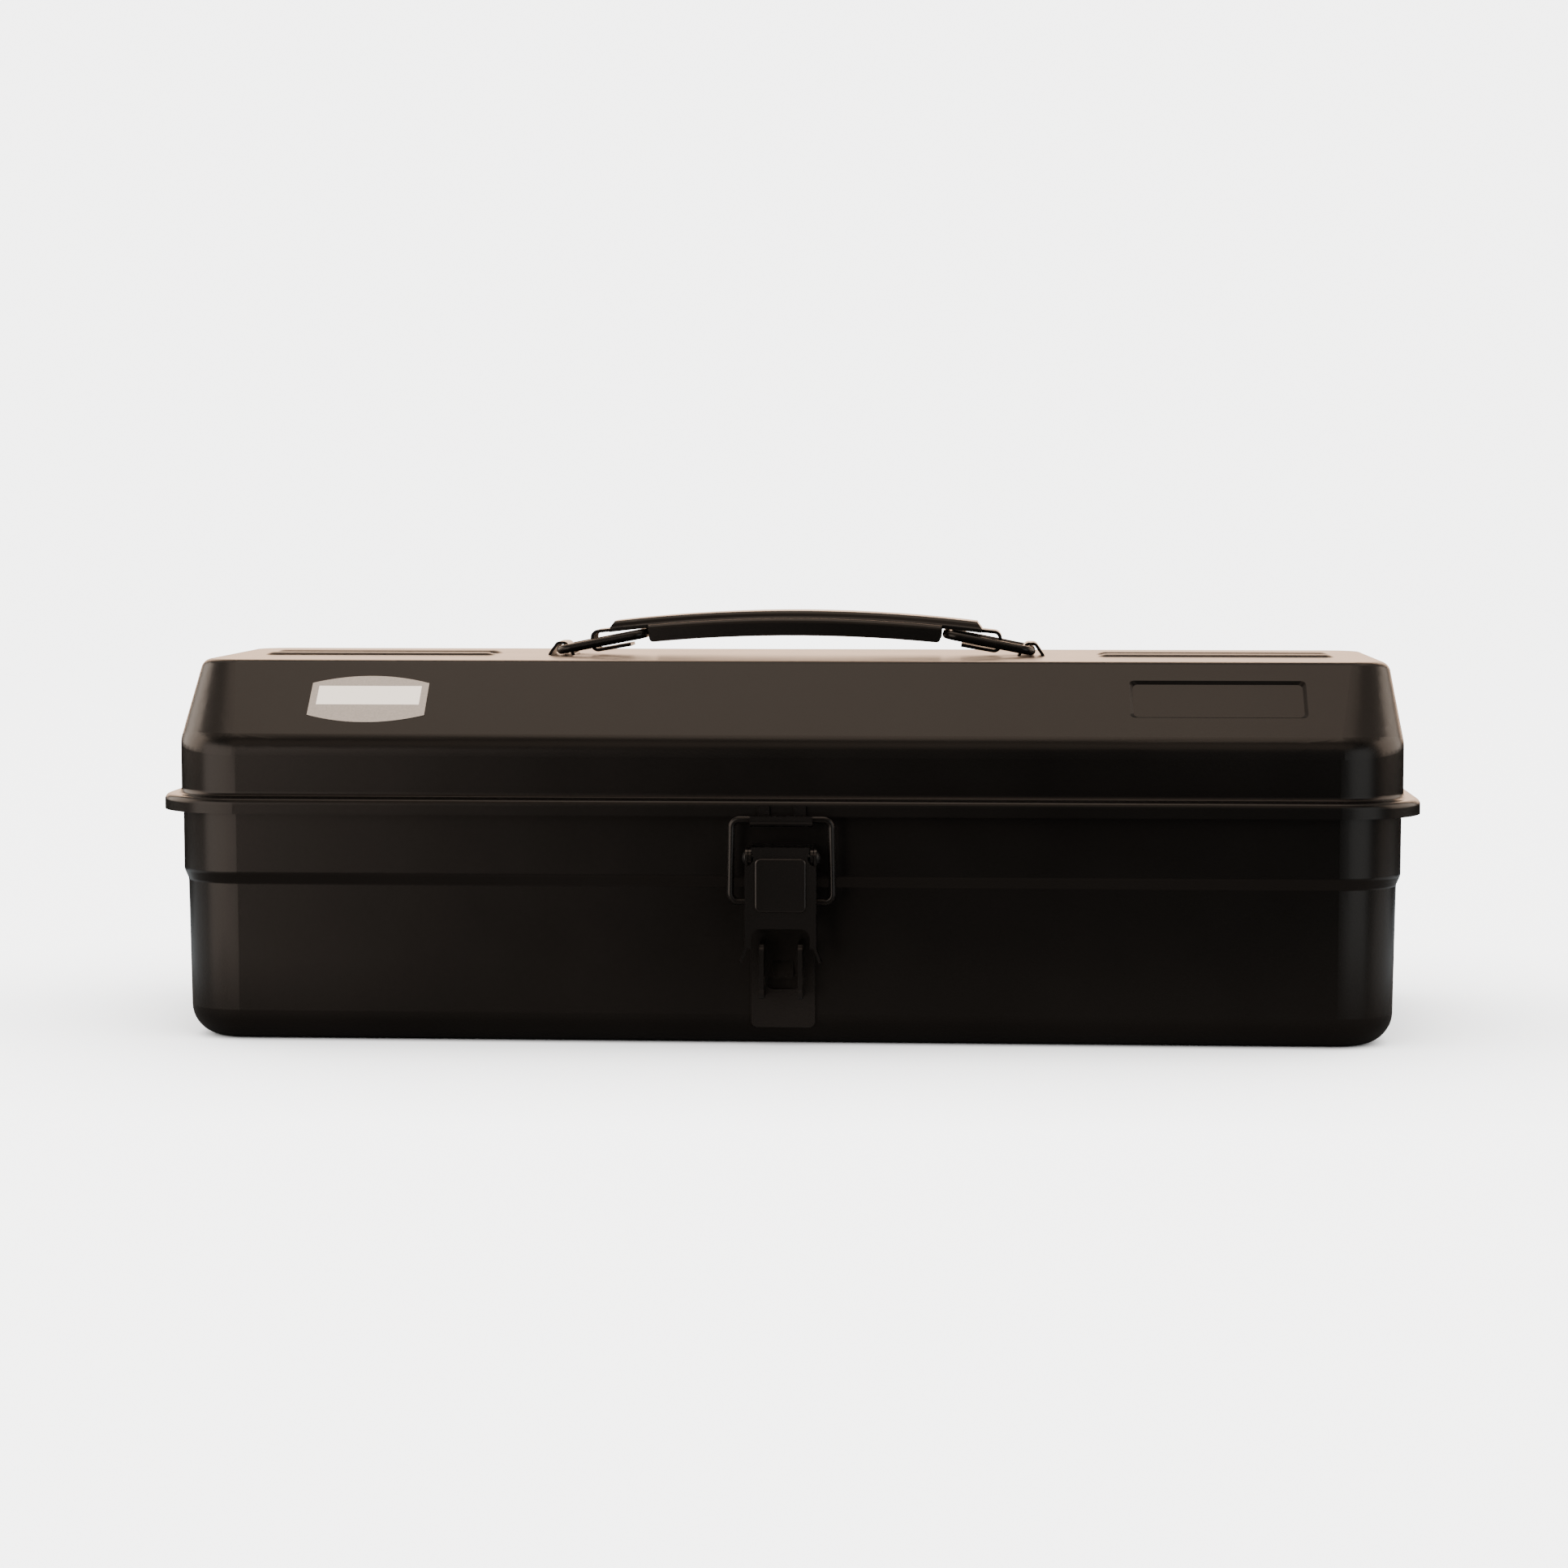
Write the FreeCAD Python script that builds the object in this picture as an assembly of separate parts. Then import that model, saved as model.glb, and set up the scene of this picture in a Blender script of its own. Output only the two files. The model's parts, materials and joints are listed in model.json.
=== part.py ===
import FreeCAD, Part

import math
import os

# Camber-top pressed-steel tool box with a folding handle, a draw latch and a lift-out tray.
# Millimetres. X runs along the box, the latch faces -Y, Z is up.
# The origin is the centre of the bottom face that the box stands on.

V = FreeCAD.Vector

# Sheet and general clearances
sheet = 0.8
fitting_sheet = 0.9
contact_gap = 0.3
pin_gap = 0.06

# Rim: the lid's skirt, the widest part of the box
rim_length = 373.0
rim_depth = 152.0
rim_corner = 25.0
rim_height = 4.6
rim_bend = 1.8
rim_gap = 1.2

# Body
body_height = 68.3
body_inset = 5.4
step_height = 48.7
step_rise = 3.0
step_inset = 1.25
step_bend = 1.6
wall_draft = 0.73
bottom_bend = 9.5
flange_bend = 1.4

# Lid
lid_inset = 4.9
band_height = 16.1
slope_rise = 23.2
slope_setback = 27.5
end_setback = 2.7
top_corner = 12.0
crease_round = 8.3
top_round = 3.6
band_bend = 1.6
bead_count = 2
bead_length = 78.0
bead_pitch = 16.0
bead_round = 6.0
bead_rise = 0.9
bead_from_end = 52.6
recess_length = 51.8
recess_width = 15.9
recess_depth = 0.7
recess_corner = 1.6
recess_edge = 1.0
recess_from_end = 54.6
recess_from_top = 8.2

# Label on the front slope
label_length = 35.0
label_side = 13.7
label_bow = 3.1
label_thickness = 0.15
label_from_end = 57.3
label_from_top = 17.3

# Inner tray, hung by its lip on the step of the body
tray_gap = 0.7
tray_lip = 1.6
tray_depth = 24.0
tray_bend = 4.0
tray_lip_bend = 1.2

# Handle
lug_gap = 4.9
lug_width = 8.2
lug_crown = 3.0
lug_length = 14.0
lug_bend = 1.7
lug_foot_bend = 1.2
lug_knee = 0.45
lug_foot = 2.6
lug_slot_gap = 0.1
ring_wire = 2.7
ring_length = 26.39
ring_rest_angle = 11.0583
ring_inner_width = 19.0
ring_bend = 3.2
grip_sheet = 1.0
grip_arc = 475.0
grip_skirt_setback = 1.3
grip_width = 26.0
grip_rib_width = 15.0
grip_rib_rise = 2.2
grip_skirt_height = 5.2
grip_flare = 0.8
grip_rib_slope = 1.5
grip_bend = 1.9
grip_rib_bend = 1.1
grip_skirt_corner = 1.2
grip_wing = 1.2
grip_rib_end = 1.6
tongue_width = 13.0
tongue_span = 127.2
tongue_overhang = 5.9
tongue_slot = 5.0
tongue_reach = 12.6
tongue_tilt = 10.0
tongue_bend = 2.4
tongue_root = 7.0

# Hinges on the back
hinge_from_end = 79.5
hinge_width = 40.0
hinge_sheet = 1.0
hinge_knuckle = 2.2
hinge_pin = 2.4
hinge_drop = 1.8
hinge_middle = 19.4
hinge_lid_leaf = 12.0
hinge_body_leaf = 12.5
hinge_bend = 0.8
hinge_wrap = 1.6
hinge_round = 3.0

# Draw latch on the front
strike_width = 18.2
strike_neck_width = 3.5
strike_neck_spacing = 10.6
strike_height = 3.1
strike_drop = 2.7
strike_bend = 1.9
strike_cover = 3.2
bail_wire = 2.0
bail_gap = 0.2
bail_width = 31.8
bail_splay = 0.4
bail_bend = 2.4
bail_stub = 0.7
pivot_drop = 11.1
crank = 12.9
over_centre = 0.9
lever_width = 20.7
lever_wall = 0.75
lever_front = 3.4
lever_above = 3.4
lever_below = 20.3
lever_tail = 26.0
lever_tip = 30.0
lever_tip_flare = 1.5
lever_tip_bend = 2.0
lever_tip_root = 2.0
lever_panel_width = 14.8
lever_panel_from = -0.2
lever_panel_length = 15.6
lever_panel_rise = 0.6
lever_panel_corner = 1.6
lever_panel_edge = 0.45
lever_window_width = 17.0
lever_window_corner = 2.5
lever_boss = 3.0
lever_shoulder = 1.0
lever_scallop = 2.5
lever_scallop_rise = 0.4
lever_waist = 0.6
lever_side_bend = 1.0
pivot_pin = 2.4
pivot_head = 4.0
pivot_head_height = 1.0
base_width = 18.8
base_wall = 0.8
base_bottom = 5.7
base_top_above = 3.4
base_tab_corner = 2.0
base_side_gap = 0.2
base_joggle = 5.5
base_joggle_bend = 1.4
ear_sheet = 1.3
ear_spacing = 11.2
ear_bottom = 15.3
ear_top = 32.0
ear_reach = 12.2
ear_corner = 3.0
shackle_hole = 6.0
shackle_height = 20.6
shackle_reach = 7.4
tab_width = 6.2
tab_bottom = 20.7
tab_top = 25.5
tab_rise = 1.3
opening_width = 9.2
opening_bottom = 17.0
opening_corner = 1.8

# Places worked out from the sizes above
corner_x = rim_length / 2 - rim_corner
corner_y = rim_depth / 2 - rim_corner
rim_top = body_height + rim_height
flange_top = rim_top - sheet
band_top = rim_top + band_height
lid_top = band_top + slope_rise
body_radius = rim_corner - body_inset
lid_radius = rim_corner - lid_inset
lower_radius = body_radius - step_inset
foot_radius = lower_radius - wall_draft
body_wall = rim_depth / 2 - body_inset
lid_half_length = rim_length / 2 - lid_inset
lid_half_depth = rim_depth / 2 - lid_inset
bead_centre = lid_half_length - bead_from_end
recess_centre = lid_half_length - recess_from_end
label_centre = label_from_end - lid_half_length


def turn(a, b):
    """Sign of the turn from direction a to direction b, positive to the left."""
    return a[0] * b[1] - a[1] * b[0]


def directions(points):
    """Unit direction of each run of a polyline."""
    result = []
    for a, b in zip(points, points[1:]):
        run = math.hypot(b[0] - a[0], b[1] - a[1])
        result.append(((b[0] - a[0]) / run, (b[1] - a[1]) / run))
    return result


def bent_edges(points, bends, place):
    """Edges of a polyline whose inner corners are rounded, each point put in space by place."""
    runs = directions(points)
    edges = []
    start = points[0]
    for corner, bend, a, b in zip(points[1:-1], bends, runs, runs[1:]):
        angle = math.acos(max(-1.0, min(1.0, a[0] * b[0] + a[1] * b[1])))
        back = bend * math.tan(angle / 2)
        side = math.copysign(1.0, turn(a, b))
        arc_start = (corner[0] - a[0] * back, corner[1] - a[1] * back)
        arc_end = (corner[0] + b[0] * back, corner[1] + b[1] * back)
        middle = (b[0] - a[0], b[1] - a[1])
        length = math.hypot(*middle)
        reach = bend / math.cos(angle / 2) - bend
        arc_middle = (corner[0] + middle[0] / length * reach, corner[1] + middle[1] / length * reach)
        if math.dist(start, arc_start) > 1e-6:
            edges.append(Part.LineSegment(place(*start), place(*arc_start)).toShape())
        if side and back > 1e-6:
            edges.append(Part.Arc(place(*arc_start), place(*arc_middle), place(*arc_end)).toShape())
        start = arc_end
    edges.append(Part.LineSegment(place(*start), place(*points[-1])).toShape())
    return edges


def sheet_face(points, bends, thickness, place):
    """Section of a bent sheet: the polyline is its right-hand side, the sheet lies on the left."""
    runs = directions(points)
    normals = [(-d[1], d[0]) for d in runs]
    moved = [(points[0][0] + thickness * normals[0][0], points[0][1] + thickness * normals[0][1])]
    moved_bends = []
    for i, bend in enumerate(bends):
        n, m = normals[i], normals[i + 1]
        scale = thickness / (1 + n[0] * m[0] + n[1] * m[1])
        corner = points[i + 1]
        moved.append((corner[0] + scale * (n[0] + m[0]), corner[1] + scale * (n[1] + m[1])))
        moved_bends.append(bend - thickness if turn(runs[i], runs[i + 1]) > 0 else bend + thickness)
    moved.append((points[-1][0] + thickness * normals[-1][0], points[-1][1] + thickness * normals[-1][1]))
    edges = bent_edges(points, bends, place)
    edges.append(Part.LineSegment(place(*points[-1]), place(*moved[-1])).toShape())
    edges += bent_edges(moved[::-1], moved_bends[::-1], place)
    edges.append(Part.LineSegment(place(*moved[0]), place(*points[0])).toShape())
    return Part.Face(Part.Wire(Part.__sortEdges__(edges)))


def fuse(shapes):
    """One clean solid from shapes that touch or overlap."""
    return shapes[0].multiFuse(shapes[1:]).removeSplitter()


def block(x0, x1, y0, y1, z0, z1):
    """Box between two corners."""
    return Part.makeBox(x1 - x0, y1 - y0, z1 - z0, V(x0, y0, z0))


def along_x(face, x0, x1):
    """Section drawn at X = 0, pulled from x0 to x1."""
    face.translate(V(x0, 0, 0))
    return face.extrude(V(x1 - x0, 0, 0))


def in_yz(y, z):
    return V(0, y, z)


def in_xz(x, z):
    return V(x, 0, z)


def edges_along_y(shape):
    """Edges of a box form that run from front to back."""
    return [e for e in shape.Edges if abs(e.Vertexes[0].Y - e.Vertexes[1].Y) > 0.1]


def round_the_box(points, bends, thickness):
    """Sheet section, measured out from the corner axis, swept round the four corners and sides."""
    corners = [(corner_x, corner_y), (-corner_x, corner_y), (-corner_x, -corner_y), (corner_x, -corner_y)]
    pieces = []
    for k, (cx, cy) in enumerate(corners):
        out = V(round(math.cos(k * math.pi / 2)), round(math.sin(k * math.pi / 2)), 0)
        face = sheet_face(points, bends, thickness, lambda u, z: V(cx, cy, z) + out * u)
        before = corners[k - 1]
        pieces.append(face.revolve(V(cx, cy, 0), V(0, 0, 1), 90))
        pieces.append(face.extrude(V(before[0] - cx, before[1] - cy, 0)))
    return pieces


def rounded_rectangle(half_length, half_depth, corner, z):
    """Level outline with round corners, as a wire that starts at the same place for every size."""
    x, y = half_length - corner, half_depth - corner
    cut = corner * math.sqrt(0.5)
    edges = []
    for sx, sy in ((1, 1), (-1, 1), (-1, -1), (1, -1)):
        side = V(sx * half_length, sy * y, z)
        end = V(sx * x, sy * half_depth, z)
        first, last = (side, end) if sx * sy > 0 else (end, side)
        edges.append(Part.Arc(first, V(sx * (x + cut), sy * (y + cut), z), last).toShape())
    lines = []
    for a, b in zip(edges, edges[1:] + edges[:1]):
        lines.append(Part.LineSegment(a.Vertexes[-1].Point, b.Vertexes[0].Point).toShape())
    ordered = [e for pair in zip(edges, lines) for e in pair]
    return Part.Wire(ordered)


def wire_path(points, bends, radius, place):
    """Round wire along a bent path."""
    edges = bent_edges(points, bends, place)
    start = edges[0].Vertexes[0].Point
    tangent = edges[0].tangentAt(edges[0].FirstParameter)
    section = Part.Face(Part.Wire(Part.Circle(start, tangent, radius).toShape()))
    return Part.Wire(edges).makePipe(section)


def capsule(length, radius, centre):
    """Round-ended bar along X."""
    half = length / 2 - radius
    bar = Part.makeCylinder(radius, 2 * half, centre - V(half, 0, 0), V(1, 0, 0))
    ends = [Part.makeSphere(radius, centre + V(s * half, 0, 0)) for s in (-1, 1)]
    return fuse([bar] + ends)


def export(name, shape):
    """One file for each piece; the shape has to be a valid closed solid."""
    solids = shape.Solids
    if not shape.isValid() or not solids:
        raise ValueError(name + " is not a valid solid")
    shape.exportStep("parts/" + name + ".step")
    box = shape.BoundBox
    print(name, len(solids), round(shape.Volume, 1), [round(v, 2) for v in (
        box.XMin, box.XMax, box.YMin, box.YMax, box.ZMin, box.ZMax)])


# Body shell: bottom, lower wall with draft, step that carries the tray, upper wall, flange under the lid


def body_points():
    """Outside of the body's section, from the middle of the bottom to the edge of the flange."""
    flange_edge = rim_corner - sheet - rim_gap
    return [
        (0.0, 0.0),
        (foot_radius, 0.0),
        (lower_radius, step_height - step_rise / 2),
        (body_radius, step_height + step_rise / 2),
        (body_radius, flange_top - sheet),
        (flange_edge, flange_top - sheet),
    ]


def make_body():
    bends = [bottom_bend, step_bend, step_bend + sheet, flange_bend]
    pieces = round_the_box(body_points(), bends, sheet)
    pieces.append(block(-corner_x, corner_x, -corner_y, corner_y, 0, sheet))
    return fuse(pieces)


# Lid shell: skirt, flange, upright band, four slopes and the flat top


def hip_solid(inward):
    """Closed form of the lid above the rim, or the same form set inward by the sheet's thickness."""
    front = math.hypot(slope_setback, slope_rise)
    end = math.hypot(end_setback, slope_rise)
    front_level, front_plumb = slope_rise / front, slope_setback / front
    end_level, end_plumb = slope_rise / end, end_setback / end
    crease_drop = inward * ((1 - front_level) / front_plumb + (1 - end_level) / end_plumb) / 2
    crease = band_top - crease_drop
    top = lid_top - inward
    half_length = lid_half_length - inward
    half_depth = lid_half_depth - inward
    top_half_length = lid_half_length - end_setback - inward * (1 - end_plumb) / end_level
    top_half_depth = lid_half_depth - slope_setback - inward * (1 - front_plumb) / front_level
    lower = rounded_rectangle(half_length, half_depth, lid_radius - inward, crease)
    upper = rounded_rectangle(top_half_length, top_half_depth, top_corner - inward / 2, top)
    hip = Part.makeLoft([lower, upper], True, True)
    foot = rim_top + rim_bend + band_bend - inward * 2
    base = rounded_rectangle(half_length, half_depth, lid_radius - inward, foot)
    band = Part.Face(base).extrude(V(0, 0, crease - foot))
    whole = band.fuse(hip).removeSplitter()
    rounds = ((crease, crease_round - inward), (top, top_round - inward))
    for level, size in rounds:
        edges = [e for e in whole.Edges if all(abs(v.Z - level) < 1e-4 for v in e.Vertexes)]
        whole = whole.makeFillet(size, edges)
    return whole


def on_front_slope(shape, x, from_top):
    """Shape drawn in a level plane, X along the box and Y up the slope, put on the front slope."""
    angle = math.degrees(math.atan2(slope_rise, slope_setback))
    run = math.hypot(slope_setback, slope_rise)
    share = from_top / run
    place = V(x, -lid_half_depth + slope_setback * (1 - share), lid_top - slope_rise * share)
    shape.Placement = FreeCAD.Placement(place, FreeCAD.Rotation(V(1, 0, 0), angle))
    return shape


def recess_form(grow, z0, z1):
    """Tapered form of the recess, drawn level between two depths and put on the front slope."""
    outlines = []
    for z in (z0, z1):
        inset = -recess_edge * (z - grow) / recess_depth
        half_length = recess_length / 2 - inset
        half_width = recess_width / 2 - inset
        outlines.append(rounded_rectangle(half_length, half_width, recess_corner, z))
    form = Part.makeCompound([Part.makeLoft(outlines, True, True)])
    return on_front_slope(form, recess_centre, recess_from_top + recess_width / 2).Solids[0]


def bead_places():
    """Middles of the pressed beads on the top, a group at each end."""
    first = -bead_pitch * (bead_count - 1) / 2
    return [(s * bead_centre, first + i * bead_pitch) for s in (-1, 1) for i in range(bead_count)]


def lug_feet_x():
    """Middle of each foot of a lug, measured from the lug's own middle."""
    half = lug_width / 2 - fitting_sheet / 2
    return (-half, half)


def make_lid():
    skirt = [
        (rim_corner, body_height),
        (rim_corner, rim_top),
        (lid_radius, rim_top),
        (lid_radius, rim_top + band_height / 2),
    ]
    rim = round_the_box(skirt, [rim_bend, band_bend], sheet)
    hip = hip_solid(0).cut(hip_solid(sheet))
    lid = fuse(rim + [hip])
    lid = lid.fuse(recess_form(-sheet, -sheet - recess_depth, -sheet / 2))
    lid = lid.cut(recess_form(0, -recess_depth, sheet / 4))
    slab = block(-lid_half_length, lid_half_length, -corner_y, corner_y, lid_top - sheet, lid_top + bead_rise)
    for x, y in bead_places():
        centre = V(x, y, lid_top + bead_rise - bead_round)
        lid = lid.fuse(capsule(bead_length, bead_round, centre).common(slab))
        lid = lid.cut(capsule(bead_length - 2 * sheet, bead_round - sheet, centre))
    half_slot = lug_length / 2 + lug_slot_gap
    half_foot = fitting_sheet / 2 + lug_slot_gap
    low, high = lid_top - 2 * sheet, lid_top + sheet
    for s in (-1, 1):
        for foot in lug_feet_x():
            x = s * ring_pivot_x + foot
            lid = lid.cut(block(x - half_foot, x + half_foot, -half_slot, half_slot, low, high))
    return lid.removeSplitter()


def make_label():
    """Blank label with straight ends and bowed long sides."""
    x, y = label_length / 2, label_side / 2
    crown = y + label_bow
    edges = [
        Part.Arc(V(-x, -y, 0), V(0, -crown, 0), V(x, -y, 0)).toShape(),
        Part.LineSegment(V(x, -y, 0), V(x, y, 0)).toShape(),
        Part.Arc(V(x, y, 0), V(0, crown, 0), V(-x, y, 0)).toShape(),
        Part.LineSegment(V(-x, y, 0), V(-x, -y, 0)).toShape(),
    ]
    plate = Part.Face(Part.Wire(edges)).extrude(V(0, 0, label_thickness))
    return on_front_slope(Part.makeCompound([plate]), label_centre, label_from_top).Solids[0]


# Tray: a shallow pan whose lip hangs on the step inside the body


def tray_top():
    """Height of the lip's underside, just above the slanted step at the lip's edge."""
    run = math.hypot(step_inset, step_rise)
    slant = step_rise / step_inset
    lip_edge = lower_radius - sheet - tray_gap + tray_lip
    inner = lower_radius - sheet * run / step_rise
    touch = step_height - step_rise / 2 + (lip_edge - inner) * slant
    return touch + contact_gap


def make_tray():
    pan = lower_radius - sheet - tray_gap
    under = tray_top()
    floor = under + sheet - tray_depth
    points = [(0.0, floor), (pan, floor), (pan, under), (pan + tray_lip, under)]
    pieces = round_the_box(points, [tray_bend, tray_lip_bend], sheet)
    pieces.append(block(-corner_x, corner_x, -corner_y, corner_y, floor, floor + sheet))
    return fuse(pieces)


# Handle: arched grip, two wire rings and the two lugs that hold them on the lid

grip_length = tongue_span - 2 * tongue_overhang
ring_radius = ring_wire / 2
ring_pivot_x = tongue_span / 2 + lug_gap + lug_width / 2
ring_pivot_z = lid_top + contact_gap + ring_radius
ring_angle = math.radians(ring_rest_angle)
ring_bar_x = ring_pivot_x - ring_length * math.cos(ring_angle)
ring_bar_z = ring_pivot_z + ring_length * math.sin(ring_angle)
grip_skirt_length = 2 * (ring_bar_x - grip_skirt_setback)
bar_lean = math.asin(ring_bar_x / grip_arc)
grip_top = ring_bar_z + (ring_radius + contact_gap + grip_sheet + grip_rib_rise) / math.cos(bar_lean)
grip_top += grip_arc * (1 - math.cos(bar_lean))
grip_axis = V(0, 0, grip_top - grip_arc)


def arched(face, length):
    """Section at X = 0, swept along the grip's arch over this length."""
    half = math.degrees(math.asin(length / 2 / grip_arc))
    face.rotate(grip_axis, V(0, 1, 0), -half)
    return face.revolve(grip_axis, V(0, 1, 0), 2 * half)


def on_arch(depth, x):
    """Height of the grip at this place along it and this depth under its crown."""
    return grip_axis.z + math.sqrt((grip_arc - depth) ** 2 - x ** 2)


def mirrored(half):
    """Section points of one side, carried over to the other side."""
    return half + [(-y, z) for y, z in half[::-1]]


def grip_end(s):
    """Curled tongue and closed rib end of one end of the grip."""
    tip = tongue_span / 2
    end = grip_length / 2
    root = end - tongue_root
    root_z = on_arch(grip_rib_rise, root)
    tip_z = root_z - (tip - root) * root / (root_z - grip_axis.z)
    under = tip_z - tongue_slot - 2 * grip_sheet
    raised = under + tongue_reach * math.tan(math.radians(tongue_tilt))
    points = [(tip - tongue_reach, raised), (tip, under), (tip, tip_z), (root, root_z)]
    bends = [tongue_bend, tongue_bend]
    curl = sheet_face(points, bends, grip_sheet, lambda x, z: V(s * x, -tongue_width / 2, z))
    lid_points = [(end, on_arch(grip_rib_rise, end)), (end - grip_rib_end, on_arch(0, end))]
    wall = sheet_face(lid_points, [], grip_sheet, lambda x, z: V(s * x, -grip_rib_width / 2, z))
    return [curl.extrude(V(0, tongue_width, 0)), wall.extrude(V(0, grip_rib_width, 0))]


def beyond_rib_end(s):
    """Room outside the slanted end of the rib."""
    end = grip_length / 2
    foot = on_arch(grip_rib_rise, end)
    crown = on_arch(0, end)
    back = end - grip_rib_end
    far = tongue_span / 2
    corners = [(end, foot), (back, crown), (back, grip_top), (far, grip_top), (far, foot), (end, foot)]
    outline = Part.makePolygon([V(s * x, -grip_width / 2, z) for x, z in corners])
    return Part.Face(outline).extrude(V(0, grip_width, 0))


def make_grip():
    shoulder = grip_top - grip_rib_rise
    skirt_end = shoulder - grip_skirt_height
    rib = grip_rib_width / 2
    side = grip_width / 2
    rib_foot = rib + grip_rib_slope
    rise = [(rib_foot, shoulder), (rib, grip_top)]
    skirts = mirrored([(side, skirt_end), (side - grip_flare, shoulder)] + rise)
    wings = mirrored([(rib_foot + grip_wing, shoulder)] + rise)
    rib_bends = [grip_rib_bend, grip_bend, grip_bend, grip_rib_bend]
    skirt_bends = [grip_bend] + rib_bends + [grip_bend]
    channel = arched(sheet_face(skirts, skirt_bends, grip_sheet, in_yz), grip_skirt_length)
    grip = fuse([channel, arched(sheet_face(wings, rib_bends, grip_sheet, in_yz), grip_length)])
    for s in (-1, 1):
        grip = fuse([grip.cut(beyond_rib_end(s))] + grip_end(s))
    corners = []
    for e in grip.Edges:
        a, b = e.Vertexes[0].Point, e.Vertexes[-1].Point
        across = abs(a.x - b.x) < grip_sheet / 2 and grip_sheet / 2 < abs(a.y - b.y) < 2 * grip_sheet
        half_way = on_arch(grip_rib_rise + grip_skirt_height / 2, abs(a.x))
        if across and max(a.z, b.z) < half_way and min(abs(a.y), abs(b.y)) > rib_foot:
            corners.append(e)
    return grip.makeFillet(grip_skirt_corner, corners)


def make_ring(s):
    """Closed wire ring, from the middle of its bar in the lug to the middle of its bar in the grip."""
    half = ring_inner_width / 2 + ring_radius
    step_x = -s * math.cos(ring_angle)
    step_z = math.sin(ring_angle)

    def place(along, across):
        return V(s * ring_pivot_x + step_x * along, across, ring_pivot_z + step_z * along)

    points = [(0.0, 0.0), (0.0, half), (ring_length, half), (ring_length, 0.0)]
    side = wire_path(points, [ring_bend, ring_bend], ring_radius, place)
    other = side.mirror(V(0, 0, 0), V(0, 1, 0))
    return fuse([side, other])


def make_lug(s):
    """Strap bridge whose feet pass through the lid's top and are clinched under it."""
    rise = ring_pivot_z - lid_top + ring_radius + contact_gap + fitting_sheet
    under = lid_top - sheet
    base = lug_width / 2
    points = mirrored([(base, under), (base, lid_top + lug_knee), (lug_crown / 2, lid_top + rise)])
    bends = [lug_foot_bend, lug_bend, lug_bend, lug_foot_bend]
    face = sheet_face(points, bends, fitting_sheet, in_xz)
    pieces = [face.extrude(V(0, lug_length, 0))]
    for t in (-1, 1):
        inner, outer = sorted((t * (base - fitting_sheet), t * (base + lug_foot)))
        pieces.append(block(inner, outer, 0, lug_length, under - fitting_sheet, under))
    lug = fuse(pieces)
    lug.translate(V(s * ring_pivot_x, -lug_length / 2, 0))
    return lug


# Hinges: a leaf on the body, a leaf wrapped over the lid's rim and a pin

hinge_y = rim_depth / 2 + hinge_knuckle
hinge_z = body_height - hinge_drop


def knuckle(x0, x1):
    """Rolled knuckle between two places along the hinge."""
    start = V(x0, hinge_y, hinge_z)
    tube = Part.makeCylinder(hinge_knuckle, x1 - x0, start, V(1, 0, 0))
    return tube.cut(Part.makeCylinder(hinge_pin / 2 + pin_gap, x1 - x0, start, V(1, 0, 0)))


def pin_way(x0, x1):
    """Room for the pin along the hinge."""
    return Part.makeCylinder(hinge_pin / 2 + pin_gap, x1 - x0, V(x0, hinge_y, hinge_z), V(1, 0, 0))


def knuckle_way(x0, x1):
    """Room for the other leaf's knuckle, with running clearance all round."""
    start = V(x0 - contact_gap, hinge_y, hinge_z)
    return Part.makeCylinder(hinge_knuckle + contact_gap, x1 - x0 + 2 * contact_gap, start, V(1, 0, 0))


def make_lid_leaf():
    half, middle = hinge_width / 2, hinge_middle / 2
    wall = lid_half_depth
    rim = rim_depth / 2
    points = [(wall, rim_top + hinge_lid_leaf), (wall, rim_top), (rim, rim_top), (rim, hinge_z)]
    leaf = along_x(sheet_face(points, [hinge_wrap, hinge_bend], hinge_sheet, in_yz), -half, half)
    for s in (-1, 1):
        x0, x1 = sorted((s * middle, s * half))
        leaf = leaf.cut(knuckle_way(x0 if s > 0 else x0 - 1, x1 + 1 if s > 0 else x1))
    leaf = leaf.fuse(knuckle(-middle, middle)).cut(pin_way(-half, half))
    return rounded_corners(leaf, rim_top + hinge_lid_leaf)


def make_body_leaf():
    half, middle = hinge_width / 2, hinge_middle / 2 + contact_gap
    wall = body_wall + hinge_sheet
    low = hinge_z - hinge_knuckle
    points = [(wall, low - hinge_body_leaf), (wall, low), (hinge_y, low)]
    leaf = along_x(sheet_face(points, [hinge_bend], hinge_sheet, in_yz), -half, half)
    leaf = leaf.cut(knuckle_way(-hinge_middle / 2, hinge_middle / 2))
    for s in (-1, 1):
        x0, x1 = sorted((s * middle, s * half))
        leaf = leaf.fuse(knuckle(x0, x1))
    leaf = leaf.cut(pin_way(-half, half))
    return rounded_corners(leaf, low - hinge_body_leaf)


def rounded_corners(leaf, level):
    """Rounds the two free corners of a leaf at this height."""
    leaf = leaf.removeSplitter()
    ends = []
    for e in leaf.Edges:
        a, b = e.Vertexes[0].Point, e.Vertexes[-1].Point
        across = abs(a.x - b.x) < 1e-4 and abs(a.y - b.y) > hinge_sheet / 2
        if across and abs(a.z - level) < 1e-4 and abs(b.z - level) < 1e-4:
            ends.append(e)
    return leaf.makeFillet(hinge_round, ends)


def make_hinge_pin():
    half = hinge_width / 2
    return Part.makeCylinder(hinge_pin / 2, 2 * half, V(-half, hinge_y, hinge_z), V(1, 0, 0))


# Draw latch: strike on the lid's rim, wire bail, lever, pivot pin and base

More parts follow.
